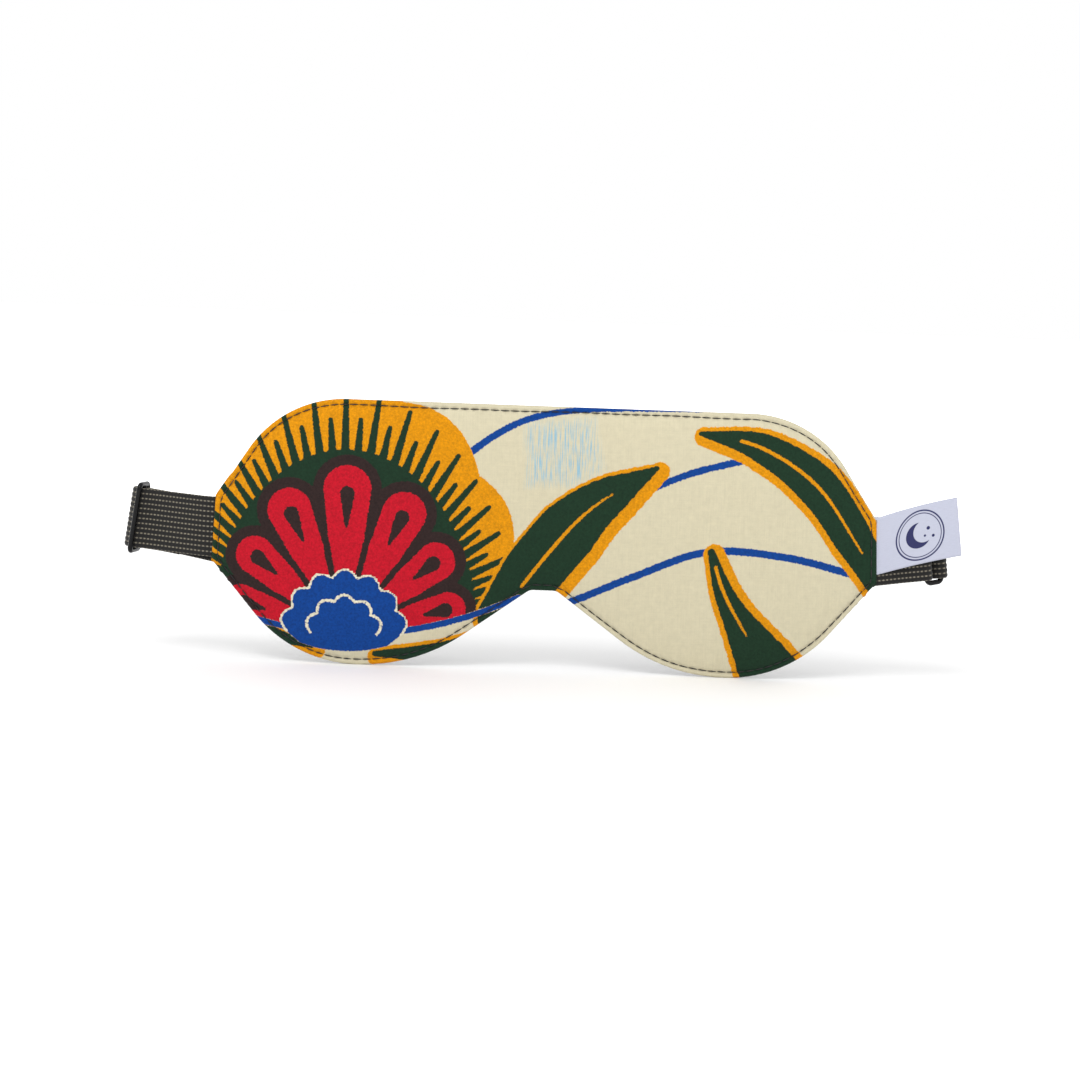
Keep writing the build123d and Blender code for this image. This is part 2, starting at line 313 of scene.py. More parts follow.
def swell(plan, crown, side):
    """How far a panel stands from the seam's plane: it rolls over at the edge, is drawn in
    by the stitches, and swells inside them. It opens at the ears round what is sewn in."""
    x, z = plan[:, 0], plan[:, 1]
    d, s = from_edge(plan)
    roll = np.clip(d / rim_width, 0, 1)
    rise = rim_height * np.sqrt(1 - (1 - roll) ** 2)
    rise += (crown - rim_height) * (1 - np.exp(-np.maximum(d - stitch_inset, 0) / swell_reach))
    pull = dimple_depth + dimple_pull * np.cos(2 * math.pi * s / stitch_pitch)
    rise -= pull * np.exp(-(((d - stitch_inset) / dimple_reach) ** 2))
    gathers = np.sin(s / 1.9 + 2 * np.sin(s / 23)) * (0.6 + 0.4 * np.sin(s / 7.3))
    rise += gather_rise * gathers * np.exp(-(((d - gather_at) / gather_reach) ** 2))
    for crease in creases:
        rise -= dent(x, z, *crease)
    # what is sewn into the ears holds the panels apart there, and puckers the front one
    beside_ears = ramp(z, 31.5, 34.5) * (1 - ramp(z, 56.5, 60))
    right_gap = right_gap_front if side < 0 else right_gap_back
    gap = beside_ears * (left_gap * ramp(-x, 98, 104) + right_gap * ramp(x, 96, 103))
    rise = gap + rise * (1 - gap / widest_gap)
    if side < 0:
        for pucker_x in (101.0, 105.0):
            rise -= dent(x, z, pucker_x, ear_height, 0.42, 0.06, 0.8, 7)
    return rise


def store(mesh, name, values):
    """Numbers kept on a mesh's points, for its finish to read."""
    values = np.asarray(values, np.float32)
    kind = "FLOAT" if values.ndim == 1 else "FLOAT_VECTOR"
    mesh.attributes.new(name, kind, "POINT").data.foreach_set(
        "value" if values.ndim == 1 else "vector", values.ravel()
    )


def shade_smooth(piece):
    piece.data.polygons.foreach_set("use_smooth", [True] * len(piece.data.polygons))


def thicken(piece, thickness):
    """The cloth's own thickness, added behind the face that shows."""
    solid = piece.modifiers.new("cloth", "SOLIDIFY")
    solid.thickness = thickness * MM
    solid.offset = -1
    solid.use_even_offset = False


def sewn_panel(name, columns, rows, crown, side):
    """A panel's face on one side of the seam's plane."""

    def build(bm):
        plan = panel_plan(bm, whole_cut, columns, rows)
        for vert, (x, z), rise in zip(bm.verts, plan, swell(plan, crown, side)):
            vert.co = (x * MM, side * rise * MM, z * MM)
        if side > 0:
            bmesh.ops.reverse_faces(bm, faces=bm.faces)

    piece = make_object(name, build)
    shade_smooth(piece)
    return piece


front_panel = sewn_panel("front_panel_cloth", 440, 176, front_crown, -1)
px, pz = np.array([(v.co.x, v.co.z) for v in front_panel.data.vertices]).T / MM


# The print is dyed in layers: blue, then amber, green, brown and red, each over the one
# before. A layer is kept as the distance inside its shape, in mm, so its edge stays crisp.
def stroke(path, *widths):
    """Inside a brush stroke along a path, with its widths at even shares of its length."""
    path = np.asarray(path, float)
    along = lengths(path) / lengths(path)[-1]
    widths = np.interp(along, np.linspace(0, 1, len(widths)), widths)
    best = np.full(len(px), -99.0)
    for (ax, az), (bx, bz), wide, next_wide in zip(path[:-1], path[1:], widths[:-1], widths[1:]):
        dx, dz = bx - ax, bz - az
        t = np.clip(((px - ax) * dx + (pz - az) * dz) / max(dx * dx + dz * dz, 1e-9), 0, 1)
        away = np.hypot(px - ax - t * dx, pz - az - t * dz)
        best = np.maximum(best, (wide + (next_wide - wide) * t) / 2 - away)
    return best


def patch(path):
    """Inside a closed shape."""
    path = np.asarray(path, float)
    inside = np.zeros(len(px), bool)
    for (ax, az), (bx, bz) in zip(path, np.roll(path, -1, 0)):
        if az != bz:
            crosses = (az > pz) != (bz > pz)
            inside ^= crosses & (px < (bx - ax) * (pz - az) / (bz - az) + ax)
    edge = -stroke(np.concatenate([path, path[:1]]), 0)
    return np.where(inside, edge, -edge)


def eased(points, pieces=6):
    """A smooth curve through points."""
    p = np.asarray(points, float)
    p = np.concatenate([2 * p[:1] - p[1:2], p, 2 * p[-1:] - p[-2:-1]])
    t = np.linspace(0, 1, pieces, endpoint=False)[:, None]
    out = []
    for a, b, c, d in zip(p[:-3], p[1:-2], p[2:-1], p[3:]):
        bend = (2 * a - 5 * b + 4 * c - d) * t**2 + (3 * b - a - 3 * c + d) * t**3
        out.append(0.5 * (2 * b + (c - a) * t + bend))
    return np.concatenate(out + [p[-2:-1]])


def join(*layers):
    return np.maximum.reduce(layers)


def cut(layer, *gaps):
    return np.minimum(layer, -join(*gaps))


# The flower is an open fan over the left lobe, drawn wholly by angles round its heart.
flower = np.array((-65.5, 10.5))
petal_count = 7
petal_angles = np.linspace(15, 165, petal_count)
petal_step = math.radians(petal_angles[1] - petal_angles[0])
ray_step = 4.0
# the ovals that its parts reach, each (half its width, its height)
petal_base, petal_tip = (15, 17), (35, 48)
ray_base, ray_tip = (40, 56), (56, 79)
dark_oval, green_oval, amber_oval = (26, 32), (44, 61), (58, 81)


def round_flower(degrees, wide, tall):
    """Places on an oval round the flower's heart, at angles from its right-hand side."""
    turn = np.radians(degrees)
    reach = 1 / np.hypot(np.cos(turn) / wide, np.sin(turn) / tall)
    return flower + np.stack([reach * np.cos(turn), reach * np.sin(turn)], -1)


def oval(wide, tall, lobes=0, depth=0):
    """Inside an oval round the flower's heart, whose edge may be scalloped."""
    dx, dz = px - flower[0], pz - flower[1]
    away = np.maximum(np.hypot(dx, dz), 1e-6)
    reach = away / np.hypot(dx / wide, dz / tall)
    return reach + depth * np.abs(np.sin(lobes * np.arctan2(dz, dx))) - away


def scallops(wide, tall, lobes, depth):
    """An arch of round lobes over the flower's heart."""
    turns = np.linspace(0, 180, 12 * lobes + 1)
    swing = depth * np.abs(np.sin(lobes * np.radians(turns)))
    return round_flower(turns, wide + swing, tall + swing)


red = np.full(len(px), -99.0)
brown = oval(*dark_oval)
for angle in petal_angles:
    base, tip = round_flower(angle, *petal_base), round_flower(angle, *petal_tip)
    base_wide, tip_wide = (0.75 * petal_step * np.linalg.norm(p - flower) for p in (base, tip))
    middle_wide = 0.56 * (base_wide + tip_wide)
    petal = stroke([base, (base + tip) / 2, tip], base_wide, middle_wide, tip_wide)
    drop = stroke([base + (tip - base) * 0.6, base + (tip - base) * 0.95], 1.0, 5.0)
    red = join(red, cut(petal, drop))
    brown = join(brown, stroke([base, tip], base_wide + 7, tip_wide + 7))

# long and short green rays stand out all round it, over an amber ground with a scalloped edge
green = oval(*green_oval)
amber = oval(*amber_oval, lobes=petal_count, depth=4)
for k, angle in enumerate(np.arange(3.0, 178.0, ray_step)):
    reach = (1.0, 0.9)[k % 2]
    tip = round_flower(angle, ray_tip[0] * reach, ray_tip[1] * reach)
    green = join(green, stroke([round_flower(angle, *ray_base), tip], 3.2, 1.6))

# its cup is blue, with two scalloped arches kept pale, on a thin blue line that closes the fan
arches = [scallops(19, 19, petal_count, 2.4), scallops(11, 11, 5, 1.8)]
bowl = round_flower(np.linspace(180, 360, 13), 19, 6)
cup_blue = patch(np.concatenate([arches[0], bowl]))
base_left, base_right, below_z = -114, -8, -9
base_x = np.linspace(base_left, base_right, 20)
base_line = np.stack([base_x, flower[1] + 0.0042 * (base_x - flower[0]) ** 2], 1)
hem_blue = stroke(base_line, 2.2)
below = patch(np.concatenate([base_line, [(base_right, below_z), (base_left, below_z)]]))
brown, red, green, amber = (
    cut(dye, below, hem_blue, cup_blue) for dye in (brown, red, green, amber)
)
resist = np.where(cup_blue > -0.5, join(*[stroke(arch, 0.9) for arch in arches]), -99)


# Leaves on blue stems fill the right lobe, and the ground below the flower.
def leaf(spine, *widths):
    """A leaf along its spine: the green blade, with a vein left open if it is wide, and the
    amber round it, printed a little off."""
    spine = eased(spine)
    blade = stroke(spine, *widths)
    if max(widths) > 8:
        vein = spine[len(spine) // 6 : len(spine) * 5 // 6]
        blade = cut(blade, stroke(vein, 1.2, 1.2, 0.6))
    return blade, stroke(spine + (1.1, -1.1), *[w + 5 for w in widths])


leaves = [
    leaf([(-14, 18), (0, 38), (15, 55), (36, 69)], 15, 20, 20, 13, 1.5),
    leaf([(50, 81), (70, 77), (89, 65), (103, 46), (112, 32)], 1.5, 10, 14, 13, 9),
    leaf([(55, 42), (61, 26), (76, 2)], 2.5, 9, 20),
    leaf([(-102, 15), (-90, 9.5), (-76, 6)], 2, 5, 2),
    leaf([(-22, 9), (-36, 5), (-55, 4)], 6, 6, 2),
]
stems = join(
    stroke(eased([(34, 62), (48, 68), (66, 73)]), 2.3),
    stroke(eased([(6, 22), (30, 33), (54, 42), (80, 41), (103, 36)]), 2.5),
    stroke(eased([(-28, 70), (-16, 79), (-4, 84.5), (14, 87.5), (50, 88.6)]), 2.5, 1.4),
)
leaf_amber = join(*[border for _, border in leaves])
leaf_green = join(*[blade for blade, _ in leaves])
green = join(cut(green, leaf_amber), leaf_green)
amber = join(amber, leaf_amber)
blue = join(stems, cup_blue, hem_blue)
amber, green = cut(amber, cup_blue, hem_blue), cut(green, cup_blue, hem_blue)
# a pale blue patch where the wax cracked, above the first leaf
crackle = patch([(-8, 60), (-9, 84), (16, 86), (20, 68), (10, 61)])
store(front_panel.data, "dye_first", np.stack([blue, amber, green], 1))
store(front_panel.data, "dye_second", np.stack([brown, red, resist], 1))
store(front_panel.data, "crackle", crackle)


def maths(tree, operation, *values):
    """One step of arithmetic on numbers or sockets."""
    return add_node(tree, "Math", dict(enumerate(values)), operation=operation).outputs[0]


def noise(tree, place, scale, detail, roughness=0.5, distortion=0.0):
    """Cloudy unevenness, as an amount from 0 to 1."""
    grain = {"Scale": scale, "Detail": detail, "Roughness": roughness, "Distortion": distortion}
    return add_node(tree, "TexNoise", {"Vector": place, **grain}).outputs["Fac"]


def weave_height(tree, coords, pitch):
    """Threads over and under each other, as a height from -1 to 1."""
    place = add_node(tree, "SeparateXYZ", {0: coords}).outputs
    turns = 2 * math.pi / (pitch * MM)
    waves = [
        maths(tree, "SINE", maths(tree, "MULTIPLY", place[axis], turns)) for axis in ("X", "Z")
    ]
    return maths(tree, "MULTIPLY", *waves)


def slubs(tree, coords, across, along):
    """Uneven threads: noise drawn out along one direction."""
    drawn = add_node(tree, "Mapping", {"Vector": coords, "Scale": (across, 1, along)}).outputs[0]
    return noise(tree, drawn, 1.0, 3.0, 0.6)


def tinted(tree, colour, amount, low, high):
    """A colour made a little darker and lighter where an amount is low and high."""
    strength = remap(tree, amount, 0.25, 0.75, low, high)
    return add_node(
        tree, "VectorMath", {0: colour, "Scale": strength}, operation="SCALE"
    ).outputs[0]


def layered(tree, under, over, fac):
    """One colour laid over another where fac is 1."""
    return add_node(
        tree, "Mix", {"Factor": fac, 6: under, 7: over}, data_type="RGBA"
    ).outputs[2]


def kept_on_mesh(tree, name, output="Fac"):
    """The numbers stored on a mesh under a name."""
    return add_node(tree, "Attribute", attribute_name=name).outputs[output]


def set_relief(tree, shader, height, strength, distance):
    """Fine threads and grain, too small to model, raised by a height."""
    bump = add_node(tree, "Bump", {"Height": height, "Strength": strength, "Distance": distance})
    tree.links.new(bump.outputs[0], shader.inputs["Normal"])


print_finish, tree, shader = start_finish("wax_print_cotton", Roughness=0.82)
shader.inputs["Sheen Weight"].default_value = 0.06
shader.inputs["Specular IOR Level"].default_value = 0.16
coords = add_node(tree, "TexCoord").outputs["Object"]
warp_slubs = slubs(tree, coords, 3200, 90)
weft_slubs = slubs(tree, coords, 120, 3200)
ground = srgb(203, 195, 167)
# the wax cracks in fine streaks, which let pale blue through
cracked = remap(tree, slubs(tree, coords, 2600, 110), 0.47, 0.6, 0.0, 0.8)
crack_place = remap(tree, kept_on_mesh(tree, "crackle"), 0.0, 3.5)
cracks = maths(tree, "MULTIPLY", cracked, crack_place)
colour = layered(tree, ground, srgb(120, 176, 205), cracks)
# each dye ends within 0.1 mm, along an edge that the cloth's grain makes ragged
ragged = noise(tree, coords, 1300.0, 2.0, 0.7)
wobble = remap(tree, ragged, 0.3, 0.7, -0.22, 0.22)
first = add_node(tree, "SeparateXYZ", {0: kept_on_mesh(tree, "dye_first", "Vector")}).outputs
second = add_node(tree, "SeparateXYZ", {0: kept_on_mesh(tree, "dye_second", "Vector")}).outputs
dyes = [
    (first["X"], srgb(5, 60, 134)),
    (first["Y"], srgb(208, 136, 0)),
    (first["Z"], srgb(22, 48, 31)),
    (second["X"], srgb(44, 31, 30)),
    (second["Y"], srgb(183, 14, 35)),
    (second["Z"], srgb(212, 206, 182)),
]
for inside, dye in dyes:
    covered = remap(tree, maths(tree, "ADD", inside, wobble), -0.1, 0.1)
    colour = layered(tree, colour, tinted(tree, dye, ragged, 0.75, 1.27), covered)
colour = tinted(tree, colour, noise(tree, coords, 420.0, 5.0, 0.75), 0.93, 1.07)
colour = tinted(tree, colour, warp_slubs, 0.95, 1.05)
colour = tinted(tree, colour, weft_slubs, 0.965, 1.035)
weave = weave_height(tree, coords, 0.38)
# painted shade and painted highlight of the weave: the colour is made darker where the threads
# dip under each other and lighter on their tops
painted_weave_shade = remap(tree, weave, -1.0, 1.0, 0.9, 1.08)
colour = add_node(
    tree, "VectorMath", {0: colour, "Scale": painted_weave_shade}, operation="SCALE"
).outputs[0]
tree.links.new(colour, shader.inputs["Base Color"])
set_relief(tree, shader, maths(tree, "ADD", weave, warp_slubs), 0.35, 0.00008)
front_panel.data.materials.append(print_finish)
thicken(front_panel, cloth)
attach(front_panel, "mask")
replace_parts(front_panel, "front_panel")


# ---- Lining ----
# The back panel: plain black cotton of the same cut, which lies against the eyes. The same
# row of stitches holds it down, and it swells less than the front.
lining = sewn_panel("lining_cloth", 220, 96, lining_crown, 1)
lining_finish, tree, shader = start_finish("black_lining_cotton", Roughness=0.9)
shader.inputs["Sheen Weight"].default_value = 0.25
shader.inputs["Specular IOR Level"].default_value = 0.2
coords = add_node(tree, "TexCoord").outputs["Object"]
colour = tinted(tree, srgb(34, 34, 36), slubs(tree, coords, 2200, 110), 0.75, 1.3)
colour = tinted(tree, colour, slubs(tree, coords, 110, 2200), 0.8, 1.25)
tree.links.new(colour, shader.inputs["Base Color"])
set_relief(tree, shader, weave_height(tree, coords, 0.42), 0.5, 0.0001)
lining.data.materials.append(lining_finish)
thicken(lining, cloth)
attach(lining, "mask")
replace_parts(lining, "back_panel")


# ---- Wadding ----
# A pad of white polyester wadding between the panels, cut smaller than them, so that it
# ends inside the row of stitches. It is thickest in its middle.
pad_inset = 3.3
half_width, full_height = 110, 88
pad_cut = [
    (
        x * (1 - pad_inset / half_width),
        z * (1 - 2 * pad_inset / full_height) + pad_inset,
        max(r - pad_inset, 1.5),
    )
    for x, z, r in whole_cut
]


def pad_mesh(bm):
    """One half of the pad, drawn in at its edge and mirrored."""
    plan = panel_plan(bm, pad_cut, 130, 56)
    d, _ = from_edge(plan)
    puff = 1.85 * (1 - np.exp(-np.maximum(d - 2.2, 0) / 1.6))
    edge_verts = {v for e in bm.edges if e.is_boundary for v in e.verts}
    for vert, (x, z), y in zip(bm.verts, plan, puff):
        y = 0 if vert in edge_verts else max(y, 0.15)
        vert.co = (x * MM, -y * MM, z * MM)
    front_half = bm.verts[:] + bm.edges[:] + bm.faces[:]
    bmesh.ops.mirror(bm, geom=front_half, axis="Y", merge_dist=1e-6)
    bmesh.ops.remove_doubles(bm, verts=bm.verts, dist=1e-6)
    bmesh.ops.recalc_face_normals(bm, faces=bm.faces)


wadding = make_object("wadding_pad", pad_mesh)
shade_smooth(wadding)
wadding_finish, tree, shader = start_finish("white_wadding", Roughness=0.95)
coords = add_node(tree, "TexCoord").outputs["Object"]
fibres = noise(tree, coords, 600.0, 8.0, 0.8, distortion=2.0)
tree.links.new(tinted(tree, srgb(236, 234, 228), fibres, 0.8, 1.1), shader.inputs["Base Color"])
set_relief(tree, shader, fibres, 0.8, 0.0004)
wadding.data.materials.append(wadding_finish)
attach(wadding, "mask")
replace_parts(wadding, "wadding")


# ---- Stitches ----
# One row of lockstitch round the edge, in black thread: each stitch lies in the dimple that
# it pulls, and dives through the layers at both ends. The bobbin thread shows on the lining.
thread_width, thread_lift = 0.42, 0.12
points_per_stitch = 8
thread_finish, tree, shader = start_finish("black_thread", Roughness=0.6)
coords = add_node(tree, "TexCoord").outputs["Object"]
twist = noise(tree, coords, 5000.0, 2.0)
tree.links.new(tinted(tree, srgb(24, 22, 24), twist, 0.6, 1.6), shader.inputs["Base Color"])


def add_stitch(bm, start, end, out, width, lift):
    """One stitch: a slim rounded bead from start to end, that lifts a little in its middle."""
    length = (end - start).length
    along = (end - start).normalized()
    side = out.cross(along).normalized()
    up = along.cross(side)
    middle = (start + end) / 2
    bead = bmesh.ops.create_uvsphere(bm, u_segments=6, v_segments=4, radius=0.5)["verts"]
    for v in bead:
        s, t, u = v.co
        bow = lift * (1 - (2 * abs(u)) ** 2)
        v.co = middle + along * (u * length) + side * (s * width) + up * (t * width - bow)


def stitch_row(name, side, crown):
    """The row on one face: stitches at even places along the edge, inset from it."""
    total = edge_along[-1]
    steps = points_per_stitch * int(total / stitch_pitch)
    places = spaced(edge_line, np.linspace(0, 1, steps + 1))
    ahead = np.roll(places[:-1], -1, 0) - np.roll(places[:-1], 1, 0)
    ahead /= np.linalg.norm(ahead, axis=1)[:, None]
    inwards = np.stack([ahead[:, 1], -ahead[:, 0]], 1)
    if inwards[0] @ (np.array((0, 44)) - places[0]) < 0:
        inwards = -inwards
    s = np.linspace(0, total, steps + 1)[:-1]
    wander = stitch_inset + 0.12 * np.sin(s / 17) + 0.08 * np.sin(s / 5.3)
    line = places[:-1] + inwards * wander[:, None]
    rise = swell(line, crown, side)

    def build(bm):
        for a in range(0, steps, points_per_stitch):
            b = (a + points_per_stitch) % steps
            top = side * (max(rise[a], rise[b], rise[(a + 3) % steps]) - 0.02)
            start = Vector((line[a][0], top, line[a][1])) * MM
            end = Vector((line[b][0], top, line[b][1])) * MM
            out = Vector((0, side, 0))
            add_stitch(bm, start, end, out, thread_width * MM, side * thread_lift * MM)
        bmesh.ops.recalc_face_normals(bm, faces=bm.faces)

    piece = make_object(name, build)
    shade_smooth(piece)
    piece.data.materials.append(thread_finish)
    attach(piece, "mask")
    return piece


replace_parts(stitch_row("topstitch_thread", -1, front_crown), "topstitch_front")
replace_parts(stitch_row("bobbin_thread", 1, lining_crown), "topstitch_back")


# ---- Elastic band ----
# One length of woven black elastic, 20 mm wide, with rubber strands that raise twelve ribs.
# Its tail is caught in the left ear. It goes out to the slider, folds round the slider's
# middle bar, and runs behind the mask to the ring.
joints = {j["name"]: j for j in frame["joints"]}


def joint_place(name):
    return np.array(joints[name]["pos_m"]) / MM


band_half = 10.0
band_half_thick = 0.6
ribs = 12
rib_pitch = 2 * band_half / ribs
rib_depth = 0.17
pick_pitch = 1.3
strap_centre = joint_place("slider_travel")[[0, 2]]
middle_bar = joint_place("slider_tilt")
hinge_bar = joint_place("ring_swivel")
to_slider_x, to_slider_z = middle_bar[[0, 2]] - strap_centre
strap_radius = math.hypot(to_slider_x, to_slider_z)
left_swing = math.atan2(to_slider_z, to_slider_x)
left_bar = np.array((-math.cos(left_swing), 0, -math.sin(left_swing)))
left_run = np.array((left_bar[2], 0, -left_bar[0]))
right_bar = left_bar * (-1, 1, 1)
right_run = np.array((right_bar[2], 0, -right_bar[0]))
deep = np.array((0, 1.0, 0))
ring_pitch, ring_lean = 5.8, math.radians(27)
fold_bar = hinge_bar + (right_run * math.cos(ring_lean) + deep * math.sin(ring_lean)) * ring_pitch
# the middle of the band lies this far from a bar: sewn or folded close, or passing loosely
loop_middle, fold_radius = 1.6, 2.95
outer_run_y, inner_run_y = middle_bar[1] + fold_radius, middle_bar[1] + loop_middle
strap_length = strap_radius * (math.radians(-90) - left_swing) * 2
run_stop = strap_length - 27.0
droop_depth, droop_at, droop_spread = 1.5, 34.0, 16.0


def on_strap(t, y):
    """A place on the strap's shallow sag, t mm along it from the slider's middle bar, and the
    direction across the band there. Past either end it goes on straight. It droops a little
    more just behind the left ear."""
    t, y = np.atleast_1d(t).astype(float), np.atleast_1d(y).astype(float)
    angle = left_swing + np.clip(t, 0, strap_length) / strap_radius
    across = np.stack([-np.cos(angle), 0 * angle, -np.sin(angle)], 1)
    along = np.stack([across[:, 2], 0 * angle, -across[:, 0]], 1)
    over = t - np.clip(t, 0, strap_length)
    droop = droop_depth * np.exp(-(((t - droop_at) / droop_spread) ** 2))
    centre = np.stack([0 * t + strap_centre[0], y, strap_centre[1] - droop], 1)
    return centre - across * strap_radius + along * over[:, None], across


def half_turn(centre, radius, start, end, steps=12):
    """Points round a bar, in the (along, deep) plane, from one angle to another."""
    angles = np.radians(np.linspace(start, end, steps))
    return np.stack([centre[0] + radius * np.cos(angles), centre[1] + radius * np.sin(angles)], 1)


def evened(path, step):
    """A path with points about step apart."""
    return spaced(path, np.linspace(0, 1, max(2, int(lengths(path)[-1] / step) + 1)))


def woven_section():
    """The band's cross-section: ribs on both faces, closing to thinner selvedges."""
    s = np.linspace(-band_half, band_half, 6 * ribs + 1)
    groove = 0.5 + 0.5 * np.cos(2 * math.pi * (s + band_half) / rib_pitch)
    rib = band_half_thick - rib_depth * groove
    rib *= np.sqrt(np.clip(1 - (np.abs(s) / band_half) ** 24, 0.12, 1))
    return np.concatenate([np.stack([s, rib], 1), np.stack([s, -rib], 1)[::-1]])


def swept(name, centres, across, section):
    """A strip with a closed cross-section, carried along a path. Its finish can read how far
    along and across the strip each point is, in mm."""
    centres, across = np.asarray(centres, float), np.asarray(across, float)
    across = np.broadcast_to(across, centres.shape)
    along = np.gradient(centres, axis=0)
    along /= np.linalg.norm(along, axis=1)[:, None]
    out = np.cross(along, across)
    out /= np.linalg.norm(out, axis=1)[:, None]
    distance = lengths(centres)
    ring = np.concatenate([section, section[:1]])
    columns, rows = len(ring) - 1, len(centres) - 1

    def build(bm):
        bmesh.ops.create_grid(bm, x_segments=columns, y_segments=rows, size=1)
        layers = [bm.verts.layers.float.new(key) for key in ("across", "along")]
        for vert in bm.verts:
            k = round((vert.co.x / 2 + 0.5) * columns)
            i = round((vert.co.y / 2 + 0.5) * rows)
            s, n = ring[k]
            vert[layers[0]], vert[layers[1]] = s, distance[i]
            vert.co = (centres[i] + across[i] * s + out[i] * n) * MM
        bmesh.ops.remove_doubles(bm, verts=bm.verts, dist=1e-6)
        ends = [e for e in bm.edges if e.is_boundary]
        bmesh.ops.holes_fill(bm, edges=ends, sides=0)
        bmesh.ops.recalc_face_normals(bm, faces=bm.faces)
        for edge in ends:
            edge.smooth = False

    piece = make_object(name, build)
    shade_smooth(piece)
    return piece


elastic_finish, tree, shader = start_finish("black_woven_elastic", Roughness=0.75)
shader.inputs["Sheen Weight"].default_value = 0.15
shader.inputs["Specular IOR Level"].default_value = 0.3
across_mm, along_mm = kept_on_mesh(tree, "across"), kept_on_mesh(tree, "along")
rib_wave = maths(tree, "COSINE", maths(tree, "MULTIPLY", across_mm, 2 * math.pi / rib_pitch))
pick_wave = maths(tree, "SINE", maths(tree, "MULTIPLY", along_mm, 2 * math.pi / pick_pitch))
place_mm = add_node(tree, "CombineXYZ", {"X": across_mm, "Y": along_mm}).outputs[0]
lint = noise(tree, place_mm, 2.2, 4.0, 0.8)
# pale cross threads show as dashes between the ribs, more in some places than in others
uneven = maths(tree, "MULTIPLY_ADD", lint, 1.6, -0.75)
dashes = maths(tree, "MULTIPLY_ADD", pick_wave, 0.45, uneven)
between_ribs = remap(tree, rib_wave, 0.4, 0.9)
pale = maths(tree, "MULTIPLY", between_ribs, remap(tree, dashes, -0.15, 0.4, 0.12, 0.9))
colour = layered(tree, srgb(17, 16, 15), srgb(134, 127, 111), pale)
colour = tinted(tree, colour, lint, 0.7, 1.35)
tree.links.new(colour, shader.inputs["Base Color"])
set_relief(tree, shader, maths(tree, "MULTIPLY", pick_wave, 0.5), 0.5, 0.00012)
band_section = woven_section()


def band_piece(name, centres, across):
    piece = swept(name, centres, across, band_section)
    piece.data.materials.append(elastic_finish)
    return piece


# the tail and the front run, from inside the ear to the slider
ear_x, ear_z = -110, 44.2
front_y = middle_bar[1] - fold_radius
front_corners = [(-102, 0, 0), (-113, 0, 10), (-132.5, front_y, 10), (middle_bar[0], front_y, 0)]
front_x, front_depth = evened(np.concatenate(rounded(front_corners, False)), 1.2).T
share = np.clip((front_x - ear_x) / (middle_bar[0] - ear_x), 0, 1)
front_height = ear_z + (middle_bar[2] - ear_z) * share
front_centres = np.stack([front_x, front_depth, front_height], 1)
front_across = np.outer(1 - share, (0, 0, 1)) + np.outer(share, left_bar)
turn = half_turn((0, middle_bar[1]), fold_radius, 270, 90, 14)[1:-1]
turn_centres, turn_across = on_strap(turn[:, 0], turn[:, 1])
run_t = np.arange(0, run_stop + 0.1, 2.0)
run_t[-1] = run_stop
run_centres, run_across = on_strap(run_t, np.full(len(run_t), outer_run_y))
strap_front = band_piece(
    "elastic_to_slider_and_back",
    np.concatenate([front_centres, turn_centres, run_centres]),
    np.concatenate([front_across, turn_across, run_across]),
)
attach(strap_front, "mask")
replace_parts(strap_front, "band_front_run", "band_slider_fold", "band_outer_run")

# both legs and the fold round the ring's far bar
leg_slope = math.radians(27.13)
off_bar = loop_middle * np.array((math.sin(leg_slope), math.cos(leg_slope)))


def leg(side, run_y):
    """From the run's stop to the fold, in the (along, deep) plane round the far bar."""
    start = side * off_bar
    rise = run_y - fold_bar[1]
    bend = (start[0] - (rise - start[1]) / math.tan(leg_slope), rise)
    corners = [(run_stop - strap_length, rise, 0), (*bend, 20), (*start, 0)]
    return evened(np.concatenate(rounded(corners, False)), 1.0)


slope_angle = 90 - math.degrees(leg_slope)
ring_fold = half_turn((0, 0), loop_middle, slope_angle, slope_angle - 180, 14)[1:-1]
ring_path = np.concatenate([leg(1, outer_run_y), ring_fold, leg(-1, inner_run_y)[::-1]])
ring_centres, ring_across = on_strap(
    ring_path[:, 0] + strap_length, ring_path[:, 1] + fold_bar[1]
)
strap_ring_end = band_piece("elastic_round_ring", ring_centres, ring_across)
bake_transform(strap_ring_end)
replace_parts(strap_ring_end, "band_outer_leg", "band_ring_fold", "band_inner_leg")

# the return run from the ring to the sewn end, which shortens as the slider is drawn along.
# It is made in eight stretches.
sewn_length = 15.0
return_stretches = 8


for i in range(return_stretches):
    near, far = i / return_stretches, (i + 1) / return_stretches
    stretch_t = run_stop + (sewn_length - run_stop) * np.linspace(near, far, 15)
    centres, across = on_strap(stretch_t, np.full(15, inner_run_y))
    stretch = band_piece(f"elastic_return_{i + 1}", centres, across)
    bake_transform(stretch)
    if i == 0:
        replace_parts(stretch, "band_inner_run")

# the end of the band, taken round the slider's middle bar and sewn back on itself
end_turn = half_turn((0, 0), loop_middle, 90, 255, 14)
end_flap = [(8.2, 0.35), (sewn_length, 0.4)]
end_path = evened(np.concatenate([[(sewn_length, loop_middle)], end_turn, end_flap]), 0.8)
end_centres, end_across = on_strap(end_path[:, 0], end_path[:, 1] + middle_bar[1])
sewn_end = band_piece("elastic_sewn_end", end_centres, end_across)
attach(sewn_end, "sewn_end")
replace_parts(sewn_end, "band_end_loop")


